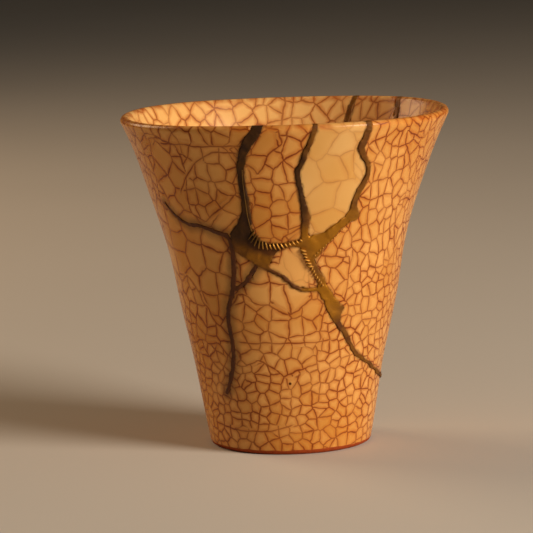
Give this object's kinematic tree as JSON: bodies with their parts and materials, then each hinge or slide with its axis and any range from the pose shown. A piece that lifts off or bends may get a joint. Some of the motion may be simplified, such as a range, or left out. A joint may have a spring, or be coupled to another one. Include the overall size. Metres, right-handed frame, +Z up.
{
  "type": "kintsugi cup",
  "caption": "Flared, hand-thrown cup with a crackled glaze, broken and mended with gold and brown lacquer, hollow and standing on its foot.",
  "frame": {"origin": "middle of the foot, on the surface that the cup stands on", "axes": "+Z up through the mouth, front with the gold mend at -Y, +X to the right as seen from the front"},
  "size_m": [0.0823, 0.0822, 0.0847],
  "materials": {
    "crackle_glaze": "glossy crackled amber glaze",
    "plain_glaze": "glossy amber glaze with few crackle lines",
    "gold_lacquer": "satin gold powder on lacquer",
    "brown_lacquer": "dark brown satin lacquer"
  },
  "bodies": {
    "root": {"cup_body": "crackle_glaze", "right_wall_shard": "crackle_glaze", "rim_shard_front_left": "crackle_glaze", "rim_shard_front_plain": "plain_glaze", "rim_shard_back": "crackle_glaze", "small_shard": "crackle_glaze", "wedge_shard": "crackle_glaze", "gold_seam": "gold_lacquer", "lacquer_seam": "brown_lacquer"}
  },
  "joints": []
}
